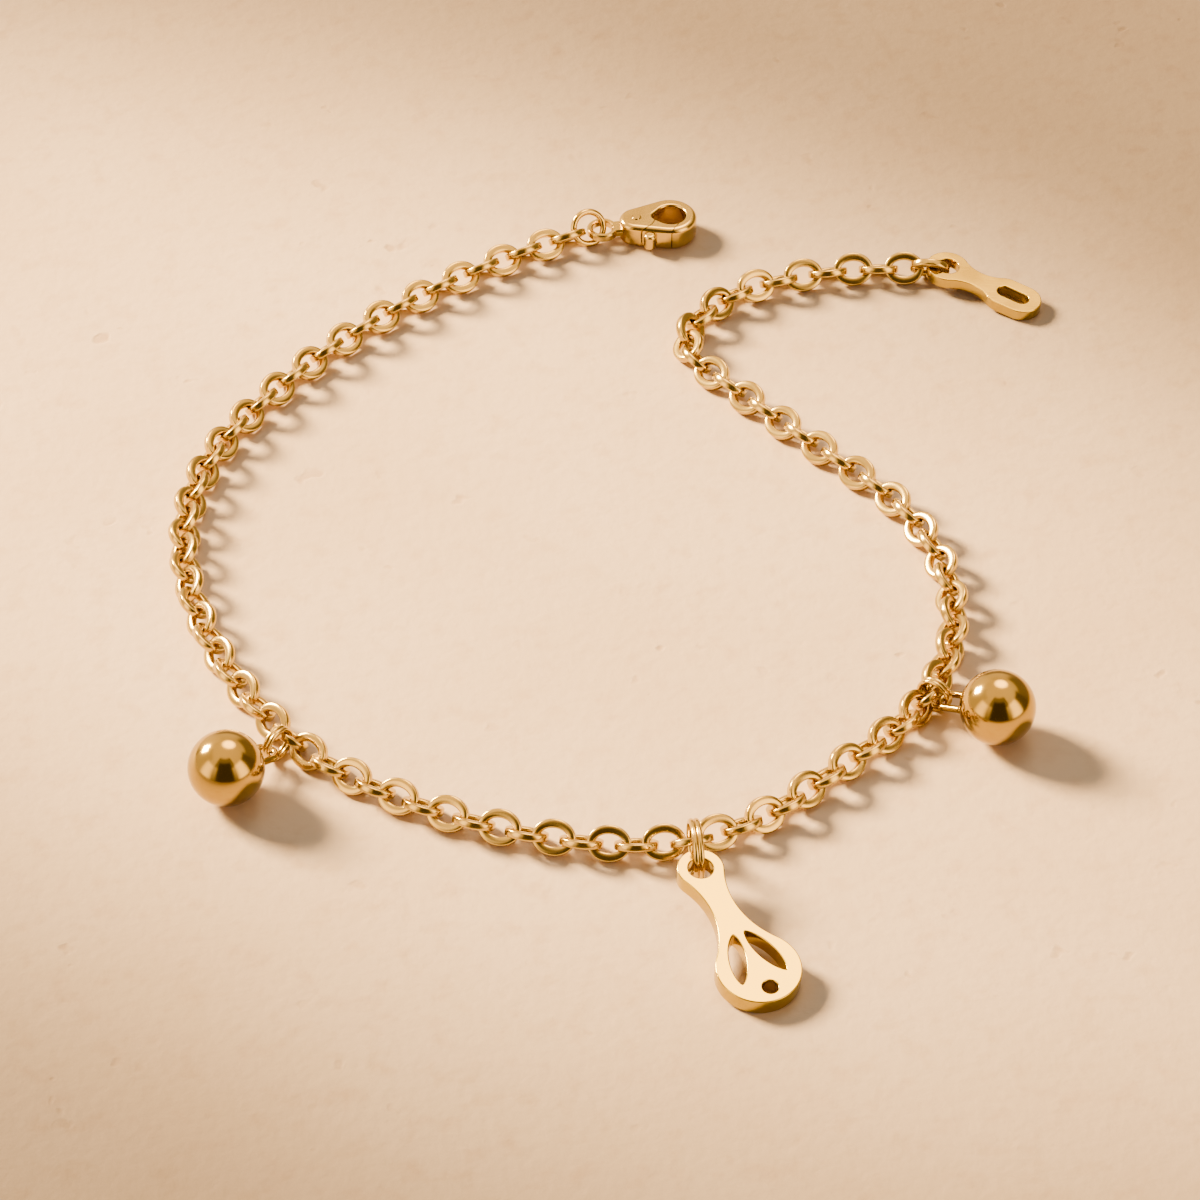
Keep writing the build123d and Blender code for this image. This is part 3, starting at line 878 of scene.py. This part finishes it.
def set_inputs(tree, node, inputs):
    """Links each named input of a node to an output, or sets it to a value."""
    for name, value in inputs.items():
        if isinstance(value, bpy.types.NodeSocket):
            tree.links.new(value, node.inputs[name])
        else:
            node.inputs[name].default_value = value


def add_node(tree, kind, inputs, **settings):
    """Adds a shader node: first its settings, then its inputs."""
    node = tree.nodes.new("ShaderNode" + kind)
    for name, value in settings.items():
        setattr(node, name, value)
    set_inputs(tree, node, inputs)
    return node


def add_math(tree, operation, *values):
    """The result of one operation on values or outputs."""
    inputs = dict(enumerate(values))
    return add_node(tree, "Math", inputs, operation=operation).outputs["Value"]


def spread_value(tree, value, start, end, low=0.0, high=1.0, kind="LINEAR"):
    """A value spread so that it is low up to the start and high from the end on."""
    inputs = {"Value": value, "From Min": start, "From Max": end, "To Min": low, "To Max": high}
    return add_node(tree, "MapRange", inputs, interpolation_type=kind).outputs["Result"]


def mix_colours(tree, factor, first, second):
    """The first colour where the factor is 0 and the second where it is 1."""
    inputs = {"Factor": factor, "A": first, "B": second}
    return add_node(tree, "Mix", inputs, data_type="RGBA").outputs["Result"]


def spread_noise(tree, place, scale, detail, start, end, low=0.0, high=1.0):
    """Noise spread between two of its values."""
    inputs = {"Vector": place, "Scale": scale, "Detail": detail}
    noise = add_node(tree, "TexNoise", inputs).outputs["Fac"]
    return spread_value(tree, noise, start, end, low, high)


def group_socket(tree, name, kind, outside, default=None):
    """Adds an input or an output to a node group."""
    socket = tree.interface.new_socket(name=name, in_out=outside, socket_type=kind)
    if default is not None:
        socket.default_value = default


# ---- Finishes ----

def handling_wear_group():
    """Fine polishing lines and soft handling haze, shared by every gold finish.

    Lines is a height from noise stretched along one axis, in two directions, and Haze is a slow
    mask from 0 to 1.
    """
    name = "handling wear"
    if name in bpy.data.node_groups:
        return bpy.data.node_groups[name]
    tree = bpy.data.node_groups.new(name, "ShaderNodeTree")
    group_socket(tree, "Vector", "NodeSocketVector", "INPUT")
    group_socket(tree, "Line Scale", "NodeSocketFloat", "INPUT", 1.0)
    group_socket(tree, "Haze Scale", "NodeSocketFloat", "INPUT", 1.0)
    group_socket(tree, "Lines", "NodeSocketFloat", "OUTPUT")
    group_socket(tree, "Haze", "NodeSocketFloat", "OUTPUT")
    source = tree.nodes.new("NodeGroupInput").outputs
    result = tree.nodes.new("NodeGroupOutput")

    lines = []
    for turn in LINE_TURNS:
        place = add_node(tree, "Mapping", {
            "Vector": source["Vector"],
            "Rotation": (*LINE_TILT, turn),
            "Scale": LINE_STRETCH,
        }).outputs["Vector"]
        scale = source["Line Scale"]
        lines.append(spread_noise(tree, place, scale, LINE_DETAIL, *LINE_RANGE, 0.0, -1.0))
    scale = add_math(tree, "MULTIPLY", source["Haze Scale"], HAZE_SCALE)
    set_inputs(tree, result, {
        "Lines": add_math(tree, "ADD", *lines),
        "Haze": spread_noise(tree, source["Vector"], scale, HAZE_DETAIL, *HAZE_RANGE),
    })
    return tree


def polished_gold(name, gold, roughness):
    """Gold-coloured plating: even polish, slow haze in the roughness and hair-fine lines."""
    polish, haze_roughness, line_depth = GOLD_FINISHES[name]
    material = bpy.data.materials.new(name)
    material.use_nodes = True
    tree = material.node_tree
    place = add_node(tree, "TexCoord", {}).outputs["Object"]
    wear = add_node(tree, "Group", {"Vector": place}, node_tree=handling_wear_group()).outputs
    hazy_gold = np.array(gold) * HAZE_TINT
    clean = roughness + polish
    lines = {
        "Height": wear["Lines"],
        "Distance": LINE_DEPTH * line_depth,
        "Strength": LINE_STRENGTH,
    }
    set_inputs(tree, tree.nodes["Principled BSDF"], {
        "Metallic": 1.0,
        "Base Color": mix_colours(tree, wear["Haze"], (*gold, 1), (*hazy_gold, 1)),
        "Roughness": spread_value(tree, wear["Haze"], 0, 1, clean, clean + haze_roughness),
        "Normal": add_node(tree, "Bump", lines).outputs["Normal"],
    })
    return material


def painted_light_pool(tree, place, stage):
    """Painted light on the floor's colour: 1 in the middle, falling softly to the painted edge shade.

    The painted pool is long in the key light's direction and half as wide across it, as the light's
    own round patch would be on a floor.
    """
    centred = add_node(tree, "Mapping", {
        "Vector": place,
        "Location": PAINTED_POOL_MIDDLE,
        "Rotation": (0, 0, np.radians(90 - KEY_AZIMUTH)),
        "Scale": (stage.pool / np.sin(np.radians(KEY_ELEVATION)), stage.pool, 1),
    }, vector_type="TEXTURE").outputs["Vector"]
    distance = add_node(tree, "VectorMath", {0: centred}, operation="LENGTH").outputs["Value"]
    return spread_value(tree, distance, *PAINTED_POOL_EDGE, 1.0, stage.edge, "SMOOTHERSTEP")


def plaster(stage):
    """Pale stone plaster: slow mottling, fine grain, a few small shallow pits and a painted pool of
    light.
    """
    material = bpy.data.materials.new("pale plaster")
    material.use_nodes = True
    tree = material.node_tree
    place = add_node(tree, "TexCoord", {}).outputs["Object"]
    patches = spread_noise(tree, place, *PIT_PATCHES)
    pits = add_math(tree, "MULTIPLY", patches, spread_noise(tree, place, *PIT_SPECKS))
    layers = [
        (spread_noise(tree, place, *MOTTLING), MOTTLING_TINT),
        (spread_noise(tree, place, *GRAIN), GRAIN_TINT),
        (pits, PIT_TINT),
    ]
    floor = np.array(stage.floor)
    tone = (*floor, 1)
    for mask, tint in layers:
        tone = mix_colours(tree, mask, tone, (*(floor * tint), 1))
    # Painted light: the floor's colour is scaled by the painted pool of light, pale in the middle and
    # painted darker far out
    shaded = {0: tone, "Scale": painted_light_pool(tree, place, stage)}
    tooth = spread_noise(tree, place, *TOOTH)
    relief = {
        "Height": add_math(tree, "MULTIPLY_ADD", pits, -PIT_DEPTH, tooth),
        "Distance": TOOTH_DEPTH,
        "Strength": TOOTH_STRENGTH,
    }
    set_inputs(tree, tree.nodes["Principled BSDF"], {
        "Roughness": FLOOR_ROUGHNESS,
        "Specular IOR Level": FLOOR_GLOSS,
        "Base Color": add_node(tree, "VectorMath", shaded, operation="SCALE").outputs["Vector"],
        "Normal": add_node(tree, "Bump", relief).outputs["Normal"],
    })
    return material


# ---- Stage ----

def aim(obj, target):
    """Turns a camera or light so that it looks at the target."""
    direction = Vector(target) - obj.location
    obj.rotation_euler = direction.to_track_quat("-Z", "Y").to_euler()


def compass(azimuth, elevation=0.0):
    """Unit vector for degrees of azimuth, clockwise from the back, and of elevation."""
    across, up = np.radians([azimuth, elevation])
    return np.sin(across) * np.cos(up), np.cos(across) * np.cos(up), np.sin(up)


def facing(tree, direction, target):
    """Cosine of the angle between the direction and a fixed target."""
    node = add_node(tree, "VectorMath", {0: direction, 1: target}, operation="DOT_PRODUCT")
    return node.outputs["Value"]


def soft_step(tree, value, start, end):
    """A smooth step from 0 at the start to 1 at the end."""
    return spread_value(tree, value, start, end, kind="SMOOTHSTEP")


def room_by_height(tree, height, brightest):
    """Brightness of the plain room at each height, as a share of the brightest light."""
    node = add_node(tree, "FloatCurve", {"Value": height})
    curve = node.mapping.curves[0]
    first, *middle, last = [(rise, light / brightest) for rise, light in ROOM_HEIGHTS]
    curve.points[0].location = first
    curve.points[1].location = last
    for point in middle:
        curve.points.new(*point)
    node.mapping.update()
    return node.outputs["Value"]


def panel_mask(tree, level, height, azimuth, half_width, low, high):
    """1 inside an upright panel and 0 outside it, softly, for level and height of a direction."""
    before, after = PANEL_SIDES
    edge = np.cos(np.radians(half_width))
    cosine = facing(tree, level, compass(azimuth))
    wide = soft_step(tree, cosine, edge - before, edge + after)
    foot = np.sin(np.radians([low - PANEL_FOOT, low + PANEL_FOOT]))
    head = np.sin(np.radians([high + PANEL_HEAD, high - PANEL_HEAD]))
    above = soft_step(tree, height, *foot)
    below = soft_step(tree, height, *head)
    return add_math(tree, "MULTIPLY", wide, add_math(tree, "MULTIPLY", above, below))


def soft_box_mask(tree, direction, azimuth, elevation, radius):
    """1 inside the round soft box and 0 outside it, softly."""
    edge = np.cos(np.radians(radius))
    cosine = facing(tree, direction, compass(azimuth, elevation))
    return soft_step(tree, cosine, edge - SOFT_BOX_EDGE, edge + SOFT_BOX_EDGE)


def room_light(stage):
    """A soft room with upright panels all round, some pale and some dark, and a soft box overhead.

    Gloss shows the room at full strength. Matt surfaces get only a share of it, in the shade's
    own colour.
    """
    world = bpy.data.worlds.new("room")
    world.use_nodes = True
    tree = world.node_tree
    direction = add_node(tree, "TexCoord", {}).outputs["Generated"]
    height = add_node(tree, "SeparateXYZ", {"Vector": direction}).outputs["Z"]
    flatten = {0: direction, 1: (1, 1, 0)}
    flat = add_node(tree, "VectorMath", flatten, operation="MULTIPLY").outputs["Vector"]
    level = add_node(tree, "VectorMath", {0: flat}, operation="NORMALIZE").outputs["Vector"]

    *box, brightest = ROOM_SOFT_BOX
    patches = []
    for *panel, value in ROOM_PANELS:
        patches.append((panel_mask(tree, level, height, *panel), value))
    patches.append((soft_box_mask(tree, direction, *box), brightest))
    light = room_by_height(tree, height, brightest)
    for mask, value in patches:
        patch = {"Factor": mask, "A": light, "B": value / brightest}
        light = add_node(tree, "Mix", patch).outputs["Result"]

    matt = add_node(tree, "LightPath", {}).outputs["Is Diffuse Ray"]
    full = stage.room * brightest
    fill = spread_value(tree, matt, 0, 1, full, full * ROOM_FILL)
    set_inputs(tree, tree.nodes["Background"], {
        "Strength": add_math(tree, "MULTIPLY", light, fill),
        "Color": mix_colours(tree, matt, (*stage.warmth, 1), (*stage.shade, 1)),
    })
    bpy.context.scene.world = world


def add_key_light(stage):
    """A square light, one metre from the anklet, that casts the long soft shadows."""
    key = bpy.data.objects.new("key light", bpy.data.lights.new("key light", "AREA"))
    key.data.energy = stage.key_power
    key.data.shape = "RECTANGLE"
    key.data.size = KEY_SIZE
    key.data.size_y = KEY_SIZE
    key.data.color = stage.key_colour
    bpy.context.scene.collection.objects.link(key)
    key.location = CAMERA_TARGET + compass(KEY_AZIMUTH, KEY_ELEVATION)
    aim(key, CAMERA_TARGET)


def add_camera():
    """A long lens, set well back in front of the anklet and above it."""
    camera = bpy.data.objects.new("camera", bpy.data.cameras.new("camera"))
    camera.data.lens = CAMERA_LENS
    camera.data.sensor_width = CAMERA_SENSOR
    camera.data.clip_start, camera.data.clip_end = CAMERA_RANGE
    bpy.context.scene.collection.objects.link(camera)
    camera.location = CAMERA_TARGET + CAMERA_OFFSET
    aim(camera, CAMERA_TARGET)
    bpy.context.scene.camera = camera


class ANKLET_OT_stage(bpy.types.Operator):
    """Makes the floor, the lights and the camera"""

    bl_idname = "anklet.stage"
    bl_label = "Set the stage"

    def execute(self, context):
        stage = context.scene.anklet_stage
        signs = np.array([(-1, -1, 0), (1, -1, 0), (1, 1, 0), (-1, 1, 0)])
        floor = build_mesh("floor", signs * FLOOR_HALF, [(0, 1, 2, 3)])
        floor.data.materials.append(plaster(stage))
        room_light(stage)
        add_key_light(stage)
        add_camera()
        return {"FINISHED"}


# ---- Panel and registration ----

class ANKLET_PT_panel(bpy.types.Panel):
    """Lists the anklet's pieces, sizes and finishes"""

    bl_label = "Charm Anklet"
    bl_idname = "ANKLET_PT_panel"
    bl_space_type = "VIEW_3D"
    bl_region_type = "UI"
    bl_category = "Anklet"

    def draw(self, context):
        for operator in OPERATORS:
            self.layout.operator(operator.bl_idname)
        for group, settings_class in SETTINGS.items():
            box = self.layout.box()
            settings = getattr(context.scene, group)
            for prop in settings_class.__annotations__:
                box.prop(settings, prop)


OPERATORS = [
    ANKLET_OT_chain,
    ANKLET_OT_rings,
    ANKLET_OT_ball_drops,
    ANKLET_OT_plates,
    ANKLET_OT_clasp,
    ANKLET_OT_stage,
]


def register():
    for item in [*SETTINGS.values(), *OPERATORS, ANKLET_PT_panel]:
        bpy.utils.register_class(item)
    for group, settings_class in SETTINGS.items():
        setattr(bpy.types.Scene, group, PointerProperty(type=settings_class))


def unregister():
    for group in SETTINGS:
        delattr(bpy.types.Scene, group)
    for item in reversed([*SETTINGS.values(), *OPERATORS, ANKLET_PT_panel]):
        bpy.utils.unregister_class(item)


def main():
    register()
    bpy.ops.anklet.chain()
    bpy.ops.anklet.rings()
    bpy.ops.anklet.ball_drops()
    bpy.ops.anklet.plates()
    bpy.ops.anklet.clasp()
    bpy.ops.anklet.stage()
    bpy.context.view_layer.update()


if __name__ == "__main__":
    main()
